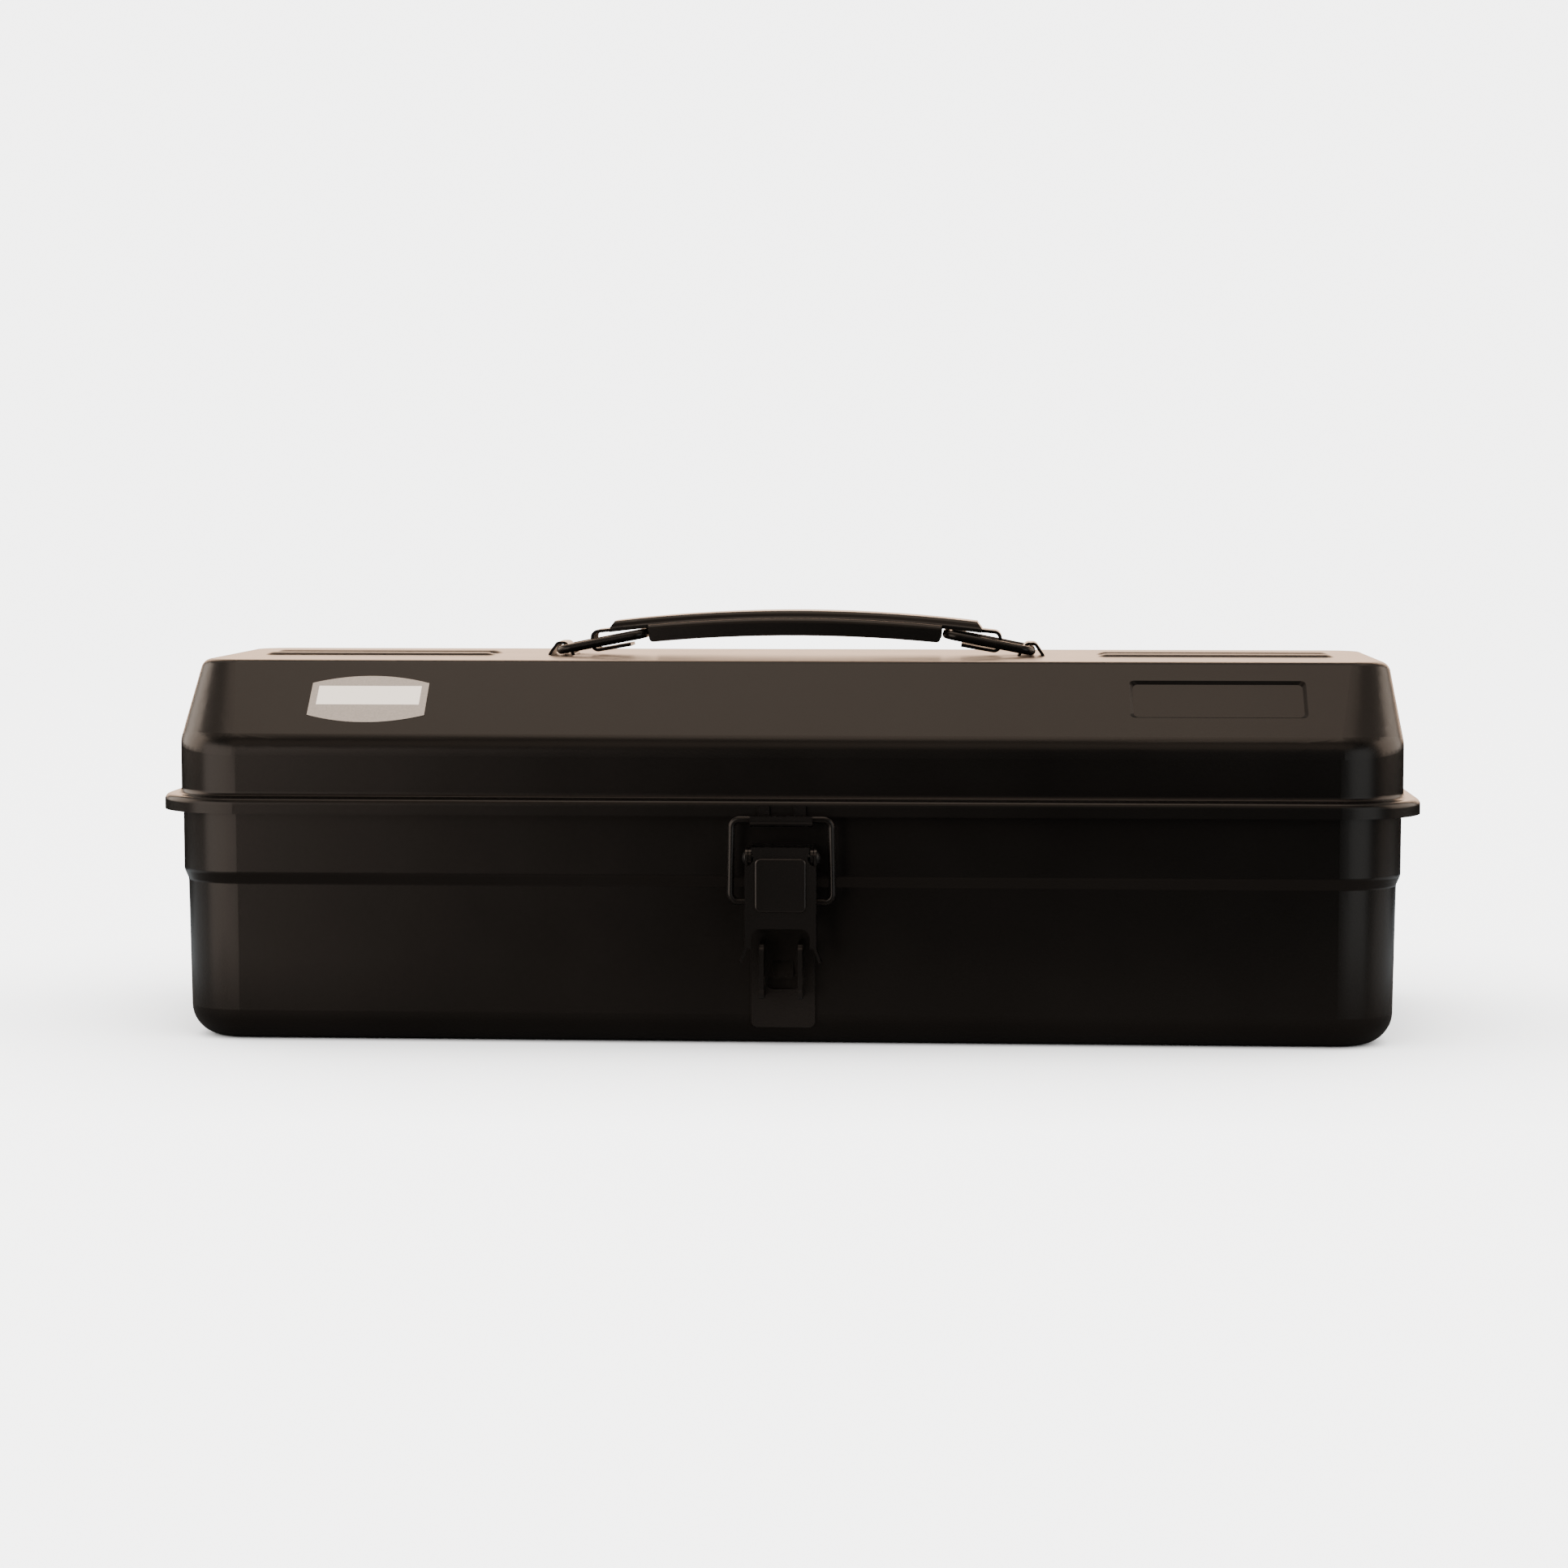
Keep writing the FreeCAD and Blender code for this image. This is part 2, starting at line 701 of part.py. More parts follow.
bail_radius = bail_wire / 2
bail_y = -(rim_depth / 2 + fitting_sheet + bail_gap + bail_radius)
strike_bottom = body_height - strike_drop
bail_z = strike_bottom + fitting_sheet + bail_gap + bail_radius
strike_front = bail_y - bail_radius - bail_gap - fitting_sheet
pivot_y = bail_y - over_centre
pivot_z = bail_z - pivot_drop
crank_z = pivot_z - crank
lever_inside = lever_width / 2 - lever_wall
front_wall = -body_wall


def make_strike():
    """Hook under the rim: a lip in front of the bail, a trough under it and two necks up the skirt."""
    rim = -rim_depth / 2
    half = strike_width / 2
    points = [
        (strike_front, strike_bottom + strike_height),
        (strike_front, strike_bottom),
        (rim, strike_bottom),
        (rim, body_height + strike_cover),
    ]
    hook = along_x(sheet_face(points, [strike_bend, strike_bend], fitting_sheet, in_yz), -half, half)
    neck_from = bail_z
    neck_in = strike_neck_spacing / 2 - strike_neck_width / 2
    neck_out = neck_in + strike_neck_width
    back = rim - fitting_sheet - bail_gap / 2
    top = body_height + rim_height
    hook = hook.cut(block(-neck_in, neck_in, back, rim, neck_from, top))
    for s in (-1, 1):
        x0, x1 = sorted((s * neck_out, s * (half + 1)))
        hook = hook.cut(block(x0, x1, back, rim, neck_from, top))
    return hook


def make_bail():
    half = bail_width / 2 - bail_radius
    inner_end = lever_inside - bail_stub

    def place(x, z):
        return V(x, bail_y, z)

    points = [
        (-inner_end, crank_z),
        (-half, crank_z),
        (-half + bail_splay, bail_z),
        (half - bail_splay, bail_z),
        (half, crank_z),
        (inner_end, crank_z),
    ]
    return wire_path(points, [bail_bend] * 4, bail_radius, place)


def lever_side_face():
    """Side wall of the lever: round at the pivot, round at the bail and a tail towards the tip."""
    front = pivot_y - lever_front
    boss = lever_boss
    tail = pivot_z - lever_tail
    back = bail_y + boss
    neck = pivot_y + lever_waist
    points = [
        (pivot_y - boss, pivot_z),
        (front, pivot_z - boss),
        (front, tail),
        (neck, tail),
        (back, crank_z - boss),
        (back, crank_z + boss),
        (pivot_y + boss, pivot_z),
        (pivot_y - boss, pivot_z),
    ]
    bends = [lever_side_bend] * (len(points) - 2)
    wall = Part.Face(Part.Wire(bent_edges(points, bends, in_yz)))
    hub = Part.Face(Part.Wire(Part.Circle(in_yz(pivot_y, pivot_z), V(1, 0, 0), boss).toShape()))
    return wall.fuse(hub).removeSplitter()


def make_lever():
    half = lever_width / 2
    front = pivot_y - lever_front
    skin = front - fitting_sheet
    below = pivot_z - lever_below
    tail = pivot_z - lever_tail
    top_half = base_width / 2 - base_wall - base_side_gap
    pieces = []
    shoulder = pivot_z - lever_boss
    pieces.append(block(-half, half, skin, front, tail, pivot_z - lever_shoulder))
    pieces.append(block(-top_half, top_half, skin, front, shoulder, pivot_z + lever_above))
    for s in (-1, 1):
        x0, x1 = sorted((s * lever_inside, s * half))
        pieces.append(lever_side_face().extrude(V(x1 - x0, 0, 0)).translated(V(x0, 0, 0)))
        pieces.append(block(x0, x1, skin, front + lever_waist, tail, shoulder))
        pieces.append(finger_tip(s, skin))
    panel_top = pivot_z - lever_panel_from
    panel_half = lever_panel_width / 2
    panel_bottom = panel_top - lever_panel_length
    panel_face = skin - lever_panel_rise
    panel = block(-panel_half, panel_half, panel_face, front - fitting_sheet / 2, panel_bottom, panel_top)
    panel = panel.makeFillet(lever_panel_corner, edges_along_y(panel))
    face_edges = [e for e in panel.Edges if all(abs(v.Y - panel_face) < 1e-4 for v in e.Vertexes)]
    pieces.append(panel.makeFillet(lever_panel_edge, face_edges))
    lever = fuse(pieces)
    window = block(-lever_window_width / 2, lever_window_width / 2, skin - 2, front + 0.01, tail - 2, below)
    top_edges = [e for e in edges_along_y(window) if e.Vertexes[0].Z > tail]
    lever = lever.cut(window.makeFillet(lever_window_corner, top_edges))
    for s in (-1, 1):
        eye = V(s * half, skin - lever_panel_rise, pivot_z + lever_scallop_rise)
        lever = lever.cut(Part.makeCylinder(lever_scallop, fitting_sheet + lever_panel_rise, eye, V(0, 1, 0)))
    holes = ((pivot_y, pivot_z, pivot_pin / 2 + pin_gap), (bail_y, crank_z, bail_radius + pin_gap))
    for y, z, radius in holes:
        lever = lever.cut(Part.makeCylinder(radius, 2 * half + 2, V(-half - 1, y, z), V(1, 0, 0)))
    return lever.removeSplitter()


def finger_tip(s, skin):
    """Flared end of one leg of the lever."""
    half = lever_width / 2
    tail = pivot_z - lever_tail
    tip = pivot_z - lever_tip
    points = [(half + lever_tip_flare, tip), (half, tail), (half, tail + lever_tip_root)]
    face = sheet_face(points, [lever_tip_bend], half - lever_inside, lambda x, z: V(s * x, skin, z))
    return face.extrude(V(0, fitting_sheet + lever_front, 0))


def make_pivot_pin():
    half = lever_width / 2
    shank_start = V(-half - pin_gap, pivot_y, pivot_z)
    shank = Part.makeCylinder(pivot_pin / 2, 2 * half + 2 * pin_gap, shank_start, V(1, 0, 0))
    heads = []
    for s in (-1, 1):
        start = V(s * (half + pin_gap), pivot_y, pivot_z)
        ball = ((pivot_head / 2) ** 2 + pivot_head_height ** 2) / (2 * pivot_head_height)
        head = Part.makeCylinder(pivot_head / 2, pivot_head_height, start, V(s, 0, 0))
        heads.append(head.common(Part.makeSphere(ball, start + V(s * (pivot_head_height - ball), 0, 0))))
    return fuse([shank] + heads)


def wall_line(z):
    """Outside of the lower front wall at this height, with its draft."""
    rise = step_height - step_rise / 2
    return -(corner_y + foot_radius + wall_draft * z / rise)


def make_base():
    """Plate on the front wall, joggled over the step, with pivot ears, pierced padlock ears and a tab."""
    half = base_width / 2
    joggle_high = step_height
    joggle_low = joggle_high - base_joggle
    upper = front_wall
    points = [
        (upper, pivot_z + base_top_above),
        (upper, joggle_high),
        (wall_line(joggle_low), joggle_low),
        (wall_line(base_bottom), base_bottom),
    ]
    bends = [base_joggle_bend, base_joggle_bend + fitting_sheet]
    section = sheet_face(points[::-1], bends, fitting_sheet, in_yz)
    base = along_x(section, -half, half)
    plate = wall_line(ear_bottom) - fitting_sheet / 2
    corners = [e for e in base.Edges if abs(e.Vertexes[0].X - e.Vertexes[-1].X) < 1e-4
               and max(v.Z for v in e.Vertexes) < base_bottom + 0.5]
    base = base.makeFillet(base_tab_corner, corners)
    pieces = [base]
    for s in (-1, 1):
        x0, x1 = sorted((s * (half - base_wall), s * half))
        inside = upper - fitting_sheet / 2
        pieces.append(block(x0, x1, pivot_y, inside, pivot_z - lever_boss, pivot_z + lever_boss))
        pieces.append(Part.makeCylinder(lever_boss, base_wall, V(x0, pivot_y, pivot_z), V(1, 0, 0)))
        ear = block(-ear_sheet / 2, ear_sheet / 2, plate - ear_reach, plate, ear_bottom, ear_top)
        front = [e for e in ear.Edges if abs(e.Vertexes[0].X - e.Vertexes[1].X) > 0.1
                 and e.Vertexes[0].Y < plate - ear_reach / 2]
        ear = ear.makeFillet(ear_corner, front)
        pieces.append(ear.translated(V(s * ear_spacing / 2, 0, 0)))
    tab_y = wall_line(tab_top) - fitting_sheet / 2
    tab = Part.Face(Part.Wire(Part.makePolygon([
        V(-tab_width / 2, tab_y, tab_top),
        V(-tab_width / 2, tab_y - fitting_sheet / 2, tab_top),
        V(-tab_width / 2, tab_y - fitting_sheet - tab_rise, tab_bottom),
        V(-tab_width / 2, tab_y, tab_bottom),
        V(-tab_width / 2, tab_y, tab_top),
    ]))).extrude(V(tab_width, 0, 0))
    pieces.append(tab)
    base = fuse(pieces)
    deep = wall_line(opening_bottom)
    opening = block(-opening_width / 2, opening_width / 2, deep - 3, deep + 3, opening_bottom, tab_bottom)
    low = [e for e in edges_along_y(opening) if e.Vertexes[0].Z < tab_bottom - 1]
    base = base.cut(opening.makeFillet(opening_corner, low))
    pin_start = V(-half - 1, pivot_y, pivot_z)
    base = base.cut(Part.makeCylinder(pivot_pin / 2 + pin_gap, base_width + 2, pin_start, V(1, 0, 0)))
    hole = V(-half, plate - shackle_reach, shackle_height)
    base = base.cut(Part.makeCylinder(shackle_hole / 2, base_width, hole, V(1, 0, 0)))
    return base.removeSplitter()


# Build and write every piece

os.makedirs("parts", exist_ok=True)
export("body_shell", make_body())
export("lid_shell", make_lid())
export("label", make_label())
export("inner_tray", make_tray())
export("handle_grip", make_grip())
export("latch_strike", make_strike())
export("latch_bail", make_bail())
export("latch_lever", make_lever())
export("latch_pivot_pin", make_pivot_pin())
export("latch_base", make_base())
for side_name, s in (("left", -1), ("right", 1)):
    export("handle_ring_" + side_name, make_ring(s))
    export("handle_lug_" + side_name, make_lug(s))
    shift = V(s * (rim_length / 2 - hinge_from_end), 0, 0)
    export("hinge_lid_leaf_" + side_name, make_lid_leaf().translated(shift))
    export("hinge_body_leaf_" + side_name, make_body_leaf().translated(shift))
    export("hinge_pin_" + side_name, make_hinge_pin().translated(shift))

print("ring angle at rest", round(math.degrees(ring_angle), 3))
print("ring bar", round(ring_bar_x, 3), round(ring_bar_z, 3))
print("ring pivot", round(ring_pivot_x, 3), round(ring_pivot_z, 3), "grip top", round(grip_top, 3))
print("hinge", round(hinge_y, 3), round(hinge_z, 3), "pivot", round(pivot_y, 3), round(pivot_z, 3))
print("padlock hole", round(wall_line(ear_bottom) - fitting_sheet / 2 - shackle_reach, 3), shackle_height)
print("crank", round(bail_y, 3), round(crank_z, 3), "bail bar", round(bail_z, 3))
print("lid top", round(lid_top, 3))
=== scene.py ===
import json
import math

import bmesh
import bpy
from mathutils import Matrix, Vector

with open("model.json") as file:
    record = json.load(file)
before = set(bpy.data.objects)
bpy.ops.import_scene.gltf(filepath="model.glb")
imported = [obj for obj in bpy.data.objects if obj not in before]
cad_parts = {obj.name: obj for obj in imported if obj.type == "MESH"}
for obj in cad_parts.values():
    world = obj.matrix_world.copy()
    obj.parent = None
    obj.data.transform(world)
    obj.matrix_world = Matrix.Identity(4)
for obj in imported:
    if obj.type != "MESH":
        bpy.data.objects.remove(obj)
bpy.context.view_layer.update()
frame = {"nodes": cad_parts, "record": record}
nodes = frame["nodes"]

# Camera at the photograph's viewing angle: pixels, a sensor in millimetres, metres and degrees
IMAGE = 1932
FOCAL_PIXELS = 4372.3
SENSOR_MM = 36.0
CAMERA_DISTANCE = 1.10625
CAMERA_AZIMUTH = 3.448
CAMERA_ELEVATION = 4.533
CAMERA_TARGET = Vector((-0.00395, 0.0, 0.07183))

# Paint of the box and of the latch: linear colours, range of roughness and strength of the gloss
PAINT_SHEEN = (1.0, 0.83, 0.72, 1.0)
BOX_PAINT = dict(
    dark=(0.0014, 0.0013, 0.0012, 1.0),
    light=(0.0022, 0.0019, 0.0017, 1.0),
    roughness=(0.26, 0.33),
    gloss=0.5,
)
LATCH_PAINT = dict(
    dark=(0.0026, 0.0024, 0.0022, 1.0),
    light=(0.0040, 0.0036, 0.0033, 1.0),
    roughness=(0.20, 0.27),
    gloss=0.7,
)

# Grain of the paint: scales per metre, depth of the orange peel in metres
TONE_SCALE = 14.0
TONE_SPREAD = (0.35, 0.65)
SMEAR_SCALE = 55.0
SMEAR_SHARE = 0.7
PEEL_SCALE = 1900.0
PEEL_STRENGTH = 0.10
PEEL_DEPTH = 0.00012

# Share of a noise's range that carries the change of colour on wire, pins and label
GRAIN_SPREAD = (0.3, 0.7)

# Coat of the wires
WIRE_DARK = (0.0016, 0.0015, 0.0014, 1.0)
WIRE_LIGHT = (0.0028, 0.0025, 0.0023, 1.0)
WIRE_ROUGH = (0.22, 0.32)
WIRE_MOTTLE_SCALE = 220.0
WIRE_PEEL_SCALE = 2600.0
WIRE_PEEL_STRENGTH = 0.08
WIRE_PEEL_DEPTH = 0.0001

# Steel of the pins, drawn along X
PIN_DARK = (0.030, 0.028, 0.026, 1.0)
PIN_LIGHT = (0.070, 0.066, 0.062, 1.0)
PIN_ROUGH = (0.28, 0.45)
PIN_METAL = 0.9
PIN_DRAWN_SCALE = (60.0, 2600.0, 2600.0)
PIN_DRAWN_STRENGTH = 0.1
PIN_DRAWN_DEPTH = 0.0001

# Foil of the label, and its white field in metres
LABEL_SILVER = (0.43, 0.365, 0.315, 1.0)
LABEL_SILVER_LIGHT = (0.51, 0.435, 0.375, 1.0)
LABEL_WHITE = (0.98, 0.86, 0.74, 1.0)
LABEL_ROUGH = (0.32, 0.45)
LABEL_METAL = 0.6
LABEL_GRAIN_SCALE = 1500.0
LABEL_FIELD = 0.0080
LABEL_FIELD_RAISE = 0.0016
LABEL_MARGIN = 0.0021

# Places of the lowest and highest corner in Blender's list of an object's corners
LOW_CORNER = 0
HIGH_CORNER = 6

# Floor, dome and fill: metres, and glow as radiance
FLOOR_COLOUR = (0.80, 0.80, 0.80, 1.0)
STAGE_ROUGH = (0.60, 0.65)
STAGE_GRAIN_SCALE = 6.0
DOME_RADIUS = 6.0
DOME_SEGMENTS = 48
DOME_RINGS = 24
DOME_GLOW = 4.6
FLOOR_GLOW = DOME_GLOW
FILL_GLOW = 1.8

# Painted shade on the floor: how near the box has to be, in metres, and how deep the painted shade is, as a
# power
CONTACT_REACH = 0.14
CONTACT_DEPTH = 1.6

# Colours of lights and reflectors, linear
WARM = (1.0, 0.90, 0.80)
WARMER = (1.0, 0.70, 0.50)
NEUTRAL = (1.0, 0.98, 0.96)
COOL = (0.76, 0.90, 1.0)
FLAT_GREY = (0.32, 0.36, 0.39)
UNDER_GREY = (0.090, 0.088, 0.086)

# Ways a sheet can face, as turns about X, Y and Z
QUARTER = math.radians(90)
UP = (0, 0, 0)
TO_FRONT = (QUARTER, 0, 0)
TO_RIGHT = (QUARTER, 0, QUARTER)
TO_LEFT = (QUARTER, 0, -QUARTER)

# Reflectors, in metres: three upright ones round the box, and grey ones that lie on the floor
CARD_HEIGHT = 1.6
CARD_LIFT = 0.12
CARD_MIDDLE = CARD_HEIGHT / 2 + CARD_LIFT
FLAT_LIFT = 0.0005
BACK_SIZE = (3.0, CARD_HEIGHT)
SIDE_SIZE = (2.2, CARD_HEIGHT)
BESIDE_SIZE = (0.27, 0.24)
CARDS = {
    "back_card": dict(size=BACK_SIZE, place=(0, 2.2, CARD_MIDDLE), turn=TO_FRONT, colour=WARMER, glow=2.3),
    "left_card": dict(size=SIDE_SIZE, place=(-1.9, 0.7, CARD_MIDDLE), turn=TO_RIGHT, colour=WARM, glow=0.9),
    "right_card": dict(size=SIDE_SIZE, place=(1.9, 0.7, CARD_MIDDLE), turn=TO_LEFT, colour=WARM, glow=0.45),
    "under_card": dict(size=(0.54, 0.325), place=(0, -0.0175, FLAT_LIFT), colour=UNDER_GREY),
    "behind_card": dict(size=(0.70, 0.30), place=(0, 0.30, FLAT_LIFT), colour=FLAT_GREY),
    "beside_left_card": dict(size=BESIDE_SIZE, place=(-0.405, 0, FLAT_LIFT), colour=FLAT_GREY),
    "beside_right_card": dict(size=BESIDE_SIZE, place=(0.405, 0, FLAT_LIFT), colour=FLAT_GREY),
}

# Soft lights: metres and watts
BOX_MIDDLE = (0, 0, 0.06)
LIGHTS = {
    "left_soft": dict(place=(-1.12, -1.14, 0.30), size=(1.7, 1.3), power=12.6, colour=NEUTRAL),
    "right_soft": dict(place=(1.00, -1.10, 0.30), size=(1.0, 1.3), power=4.0, colour=COOL),
    "top_soft": dict(place=(-0.09, 0.05, 1.6), size=(0.85, 1.3), power=3.6, colour=WARM),
    "canopy": dict(place=(0, 0.60, 1.7), size=(3.4, 2.2), power=9.5, colour=WARM, aim=(0, 0.60, 0)),
    "front_soft": dict(place=(0, -1.55, 1.85), size=(2.0, 0.9), power=3.0, colour=WARM),
}


class Shader:
    """Short way to write a node material: each call adds nodes and links their inputs."""

    def __init__(self, name):
        self.material = bpy.data.materials.new(name)
        self.material.use_nodes = True
        self.tree = self.material.node_tree
        self.bsdf = self.tree.nodes["Principled BSDF"]

    def feed(self, socket, value):
        """Links a socket to another one, or gives it a fixed value."""
        if isinstance(value, bpy.types.NodeSocket):
            self.tree.links.new(value, socket)
        else:
            socket.default_value = value

    def add(self, kind, inputs, **settings):
        """Adds a node with its settings, and feeds its inputs by name or number."""
        node = self.tree.nodes.new(kind)
        for key, value in settings.items():
            setattr(node, key, value)
        for key, value in inputs.items():
            self.feed(node.inputs[key], value)
        return node

    def set(self, **sockets):
        """Feeds the main shader's own sockets, and gives the material."""
        for key, value in sockets.items():
            self.feed(self.bsdf.inputs[key.replace("_", " ")], value)
        return self.material

    def place(self):
        """Place on the object, in metres."""
        return self.add("ShaderNodeTexCoord", {}).outputs["Object"]

    def calc(self, operation, a, b=0.0):
        """One step of arithmetic."""
        return self.add("ShaderNodeMath", {0: a, 1: b}, operation=operation).outputs["Value"]

    def noise(self, scale, detail=2.0, rough=0.5):
        """Soft random pattern over the object."""
        inputs = {"Vector": self.place(), "Scale": scale, "Detail": detail, "Roughness": rough}
        return self.add("ShaderNodeTexNoise", inputs).outputs["Fac"]

    def contrast(self, factor, low, high):
        """Stretches the part of a factor from low to high over 0 to 1."""
        inputs = {"Value": factor, "From Min": low, "From Max": high}
        return self.add("ShaderNodeMapRange", inputs).outputs["Result"]

    def spread(self, factor, low, high):
        """Spreads a factor of 0 to 1 over low to high."""
        inputs = {"Value": factor, "To Min": low, "To Max": high}
        return self.add("ShaderNodeMapRange", inputs).outputs["Result"]

    def mix(self, factor, a, b):
        """Colour from a to b."""
        inputs = {"Factor": factor, "A": a, "B": b}
        return self.add("ShaderNodeMix", inputs, data_type="RGBA").outputs["Result"]

    def bump(self, height, strength, depth):
        """Fine relief that shows in the gloss."""
        inputs = {"Height": height, "Strength": strength, "Distance": depth}
        return self.add("ShaderNodeBump", inputs).outputs["Normal"]


def painted_steel(name, dark, light, roughness, gloss):
    """Satin baked paint on pressed sheet: slow tone changes, smears and a fine orange peel."""
    s = Shader(name)
    tone = s.noise(TONE_SCALE)
    peel = s.noise(PEEL_SCALE)
    smear = s.noise(SMEAR_SCALE, detail=4.0, rough=0.6)
    colour = s.mix(s.contrast(tone, *TONE_SPREAD), dark, light)
    smear_part = s.calc("MULTIPLY", smear, SMEAR_SHARE)
    peel_part = s.calc("MULTIPLY", peel, 1 - SMEAR_SHARE)
    rough = s.spread(s.calc("ADD", smear_part, peel_part), *roughness)
    s.set(Base_Color=colour, Roughness=rough, Normal=s.bump(peel, PEEL_STRENGTH, PEEL_DEPTH))
    return s.set(Specular_Tint=PAINT_SHEEN, Specular_IOR_Level=gloss)


def coated_wire():
    """Smoother black coat on round wire."""
    s = Shader("black_wire_coat")
    mottle = s.noise(WIRE_MOTTLE_SCALE, detail=3.0)
    peel = s.noise(WIRE_PEEL_SCALE)
    colour = s.mix(s.contrast(mottle, *GRAIN_SPREAD), WIRE_DARK, WIRE_LIGHT)
    s.set(Base_Color=colour, Roughness=s.spread(mottle, *WIRE_ROUGH))
    return s.set(Normal=s.bump(peel, WIRE_PEEL_STRENGTH, WIRE_PEEL_DEPTH), Specular_Tint=PAINT_SHEEN)


def blackened_steel():
    """Pins: dark steel with drawn marks along their length."""
    s = Shader("blackened_steel_pin")
    stretch = s.add("ShaderNodeMapping", {"Vector": s.place(), "Scale": PIN_DRAWN_SCALE})
    inputs = {"Vector": stretch.outputs["Vector"], "Scale": 1.0, "Detail": 3.0}
    drawn = s.add("ShaderNodeTexNoise", inputs).outputs["Fac"]
    colour = s.mix(s.contrast(drawn, *GRAIN_SPREAD), PIN_DARK, PIN_LIGHT)
    s.set(Base_Color=colour, Roughness=s.spread(drawn, *PIN_ROUGH), Metallic=PIN_METAL)
    return s.set(Normal=s.bump(drawn, PIN_DRAWN_STRENGTH, PIN_DRAWN_DEPTH))


def label_foil():
    """Blank silver label with a plain white field that stops short of its ends."""
    s = Shader("silver_label_foil")
    corners = [Vector(c) for c in nodes["label"].bound_box]
    low, high = corners[LOW_CORNER], corners[HIGH_CORNER]
    middle = (low + high) / 2
    slope = math.atan2(high.z - low.z, high.y - low.y)
    place = s.add("ShaderNodeSeparateXYZ", {"Vector": s.place()}).outputs
    up_y = s.calc("MULTIPLY", place["Y"], math.cos(slope))
    up_z = s.calc("MULTIPLY", place["Z"], math.sin(slope))
    field_middle = middle.y * math.cos(slope) + middle.z * math.sin(slope) + LABEL_FIELD_RAISE
    height = s.calc("ABSOLUTE", s.calc("SUBTRACT", s.calc("ADD", up_y, up_z), field_middle))
    length = s.calc("ABSOLUTE", s.calc("SUBTRACT", place["X"], middle.x))
    in_height = s.calc("LESS_THAN", height, LABEL_FIELD / 2)
    in_length = s.calc("LESS_THAN", length, (high.x - low.x) / 2 - LABEL_MARGIN)
    field = s.calc("MULTIPLY", in_height, in_length)
    grain = s.noise(LABEL_GRAIN_SCALE)
    silver = s.mix(s.contrast(grain, *GRAIN_SPREAD), LABEL_SILVER, LABEL_SILVER_LIGHT)
    s.set(Base_Color=s.mix(field, silver, LABEL_WHITE), Roughness=s.spread(grain, *LABEL_ROUGH))
    return s.set(Metallic=s.spread(field, LABEL_METAL, 0.0))


def matt_surface(s, colour, glow):
    """Surface of the stage: matt, with a glow of its own colour."""
    rough = s.spread(s.noise(STAGE_GRAIN_SCALE), *STAGE_ROUGH)
    s.set(Base_Color=colour, Roughness=rough, Specular_IOR_Level=0.0)
    return s.set(Emission_Color=colour, Emission_Strength=glow)


def pale_floor():
    """Glowing floor whose glow is dimmed near the box: a painted contact shadow."""
    s = Shader("pale_floor")
    open_sky = s.add("ShaderNodeAmbientOcclusion", {"Distance": CONTACT_REACH}).outputs["AO"]
    # painted shadow: the floor's glow is dimmed where the box stands close, as ambient occlusion measures
    # it
    glow = s.calc("MULTIPLY", s.calc("POWER", open_sky, CONTACT_DEPTH), FLOOR_GLOW)
    return matt_surface(s, FLOOR_COLOUR, glow)


def dress_nodes():
    """Gives every CAD node the finish of its slot; the latch is painted glossier than the box."""
    finishes = {
        "black_paint": painted_steel("satin_black_paint", **BOX_PAINT),
        "black_wire": coated_wire(),
        "dark_pin": blackened_steel(),
        "silver_label": label_foil(),
    }
    latch_paint = painted_steel("fitting_black_paint", **LATCH_PAINT)
    for part in frame["record"]["subparts"]:
        slot = part["material_slot"]
        on_latch = slot == "black_paint" and part["node"].startswith("latch_")
        materials = nodes[part["node"]].data.materials
        materials.clear()
        materials.append(latch_paint if on_latch else finishes[slot])


def sheet_mesh(name, width, height):
    """Flat sheet, face up."""
    mesh = bpy.data.meshes.new(name)
    x, y = width / 2, height / 2
    mesh.from_pydata([(-x, -y, 0), (x, -y, 0), (x, y, 0), (-x, y, 0)], [], [(0, 1, 2, 3)])
    return mesh


def add_stage_piece(name, mesh, material, place=(0, 0, 0), turn=UP):
    """Puts a mesh on the stage, apart from the object."""
    mesh.materials.append(material)
    obj = bpy.data.objects.new(name, mesh)
    obj.location = place
    obj.rotation_euler = turn
    bpy.context.scene.collection.objects.link(obj)
    return obj


def hide_from(obj, *rays):
    """Keeps a stage piece out of some kinds of ray."""
    for ray in rays:
        setattr(obj, "visible_" + ray, False)


def add_card(name, size, place, colour, turn=UP, glow=0.0):
    """Reflector that shows only in the object's gloss."""
    material = matt_surface(Shader(name), (*colour, 1.0), glow)
    card = add_stage_piece(name, sheet_mesh(name, *size), material, place, turn)
    hide_from(card, "camera", "diffuse", "shadow")


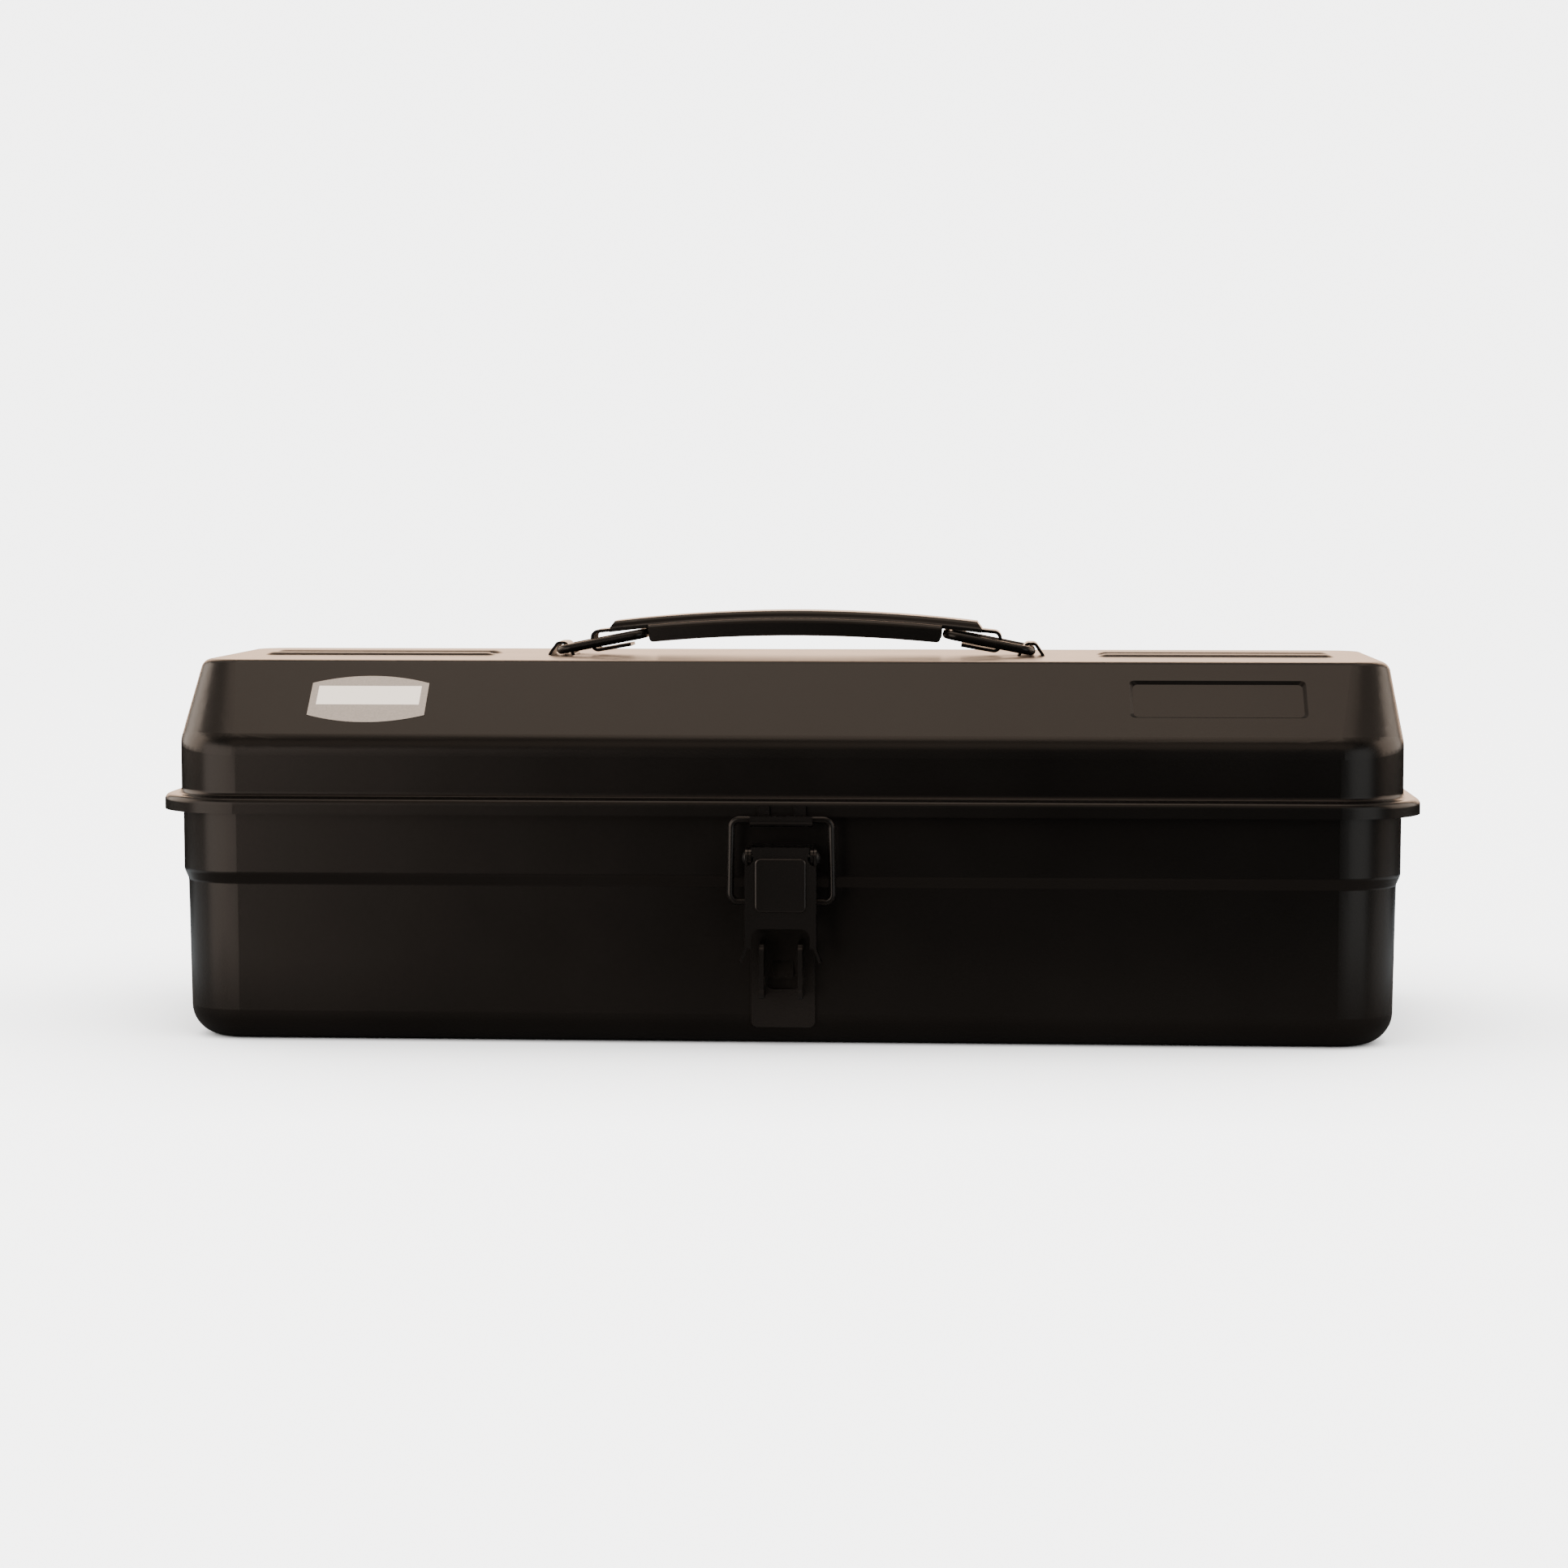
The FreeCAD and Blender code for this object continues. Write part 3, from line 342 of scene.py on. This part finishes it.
def add_light(name, place, size, power, colour, aim=BOX_MIDDLE):
    """Soft rectangular studio light."""
    light = bpy.data.lights.new(name, "AREA")
    light.shape = "RECTANGLE"
    light.size, light.size_y = size
    light.energy = power
    light.color = colour
    obj = bpy.data.objects.new(name, light)
    obj.location = place
    obj.rotation_euler = (Vector(aim) - Vector(place)).to_track_quat("-Z", "Y").to_euler()
    obj.visible_camera = False
    bpy.context.scene.collection.objects.link(obj)


def build_backdrop():
    """White floor under a white dome, which neither light the object nor show in its gloss."""
    floor_mesh = sheet_mesh("floor", 2 * DOME_RADIUS, 2 * DOME_RADIUS)
    floor = add_stage_piece("floor", floor_mesh, pale_floor())
    shape = bmesh.new()
    bmesh.ops.create_uvsphere(shape, u_segments=DOME_SEGMENTS, v_segments=DOME_RINGS, radius=DOME_RADIUS)
    dome_mesh = bpy.data.meshes.new("dome")
    shape.to_mesh(dome_mesh)
    shape.free()
    dome = add_stage_piece("dome", dome_mesh, matt_surface(Shader("white_dome"), FLOOR_COLOUR, DOME_GLOW))
    for piece in (floor, dome):
        hide_from(piece, "glossy", "diffuse", "shadow")


def build_fill():
    """Even light from all sides, which the gloss doesn't mirror."""
    world = bpy.data.worlds.new("studio")
    bpy.context.scene.world = world
    world.use_nodes = True
    background = world.node_tree.nodes["Background"]
    background.inputs["Color"].default_value = (*NEUTRAL, 1.0)
    background.inputs["Strength"].default_value = FILL_GLOW
    world.cycles_visibility.glossy = False


def build_camera():
    """Camera that looks at its target from the photograph's side."""
    data = bpy.data.cameras.new("camera")
    data.sensor_width = SENSOR_MM
    data.lens = SENSOR_MM * FOCAL_PIXELS / IMAGE
    azimuth, elevation = math.radians(CAMERA_AZIMUTH), math.radians(CAMERA_ELEVATION)
    flat = math.cos(elevation)
    away = Vector((math.sin(azimuth) * flat, -math.cos(azimuth) * flat, math.sin(elevation)))
    camera = bpy.data.objects.new("camera", data)
    camera.location = CAMERA_TARGET + away * CAMERA_DISTANCE
    camera.rotation_euler = (-away).to_track_quat("-Z", "Y").to_euler()
    bpy.context.scene.collection.objects.link(camera)
    bpy.context.scene.camera = camera


dress_nodes()
build_backdrop()
for card_name, card in CARDS.items():
    add_card(card_name, **card)
build_fill()
for light_name, light in LIGHTS.items():
    add_light(light_name, **light)
build_camera()
